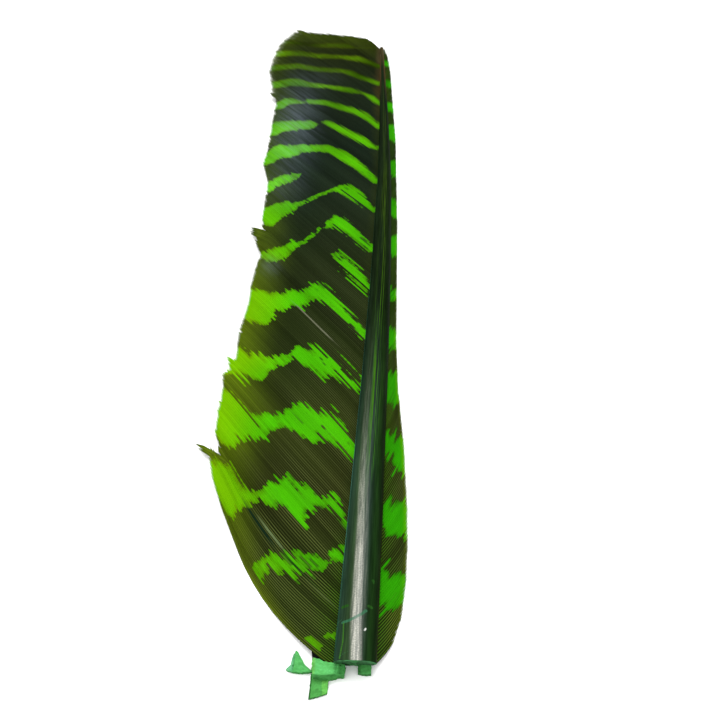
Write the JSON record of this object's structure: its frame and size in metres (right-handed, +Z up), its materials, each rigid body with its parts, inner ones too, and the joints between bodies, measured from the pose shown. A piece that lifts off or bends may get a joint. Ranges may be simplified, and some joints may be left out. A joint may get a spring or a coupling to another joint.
{
  "type": "turkey wing feather",
  "caption": "Cut wing feather lying flat: a grooved shaft that tapers to the tip, a wide barred vane on one side, a narrow vane on the other, and torn shreds at the cut.",
  "frame": {"origin": "middle of the feather's box, on the surface that it lies on", "axes": "+Y along the shaft from the cut to the tip, +Z up from the surface, +X towards the narrow vane"},
  "size_m": [0.0494, 0.2603, 0.005],
  "materials": {
    "vane": "dyed barbs, bright green bars on dark olive, with a soft sheen along the barbs",
    "shaft": "dyed horn, dark green, glossy, streaked along its length",
    "pith": "torn dyed pith, mint green and matt"
  },
  "bodies": {
    "root": {"feather": "vane"}
  },
  "joints": []
}
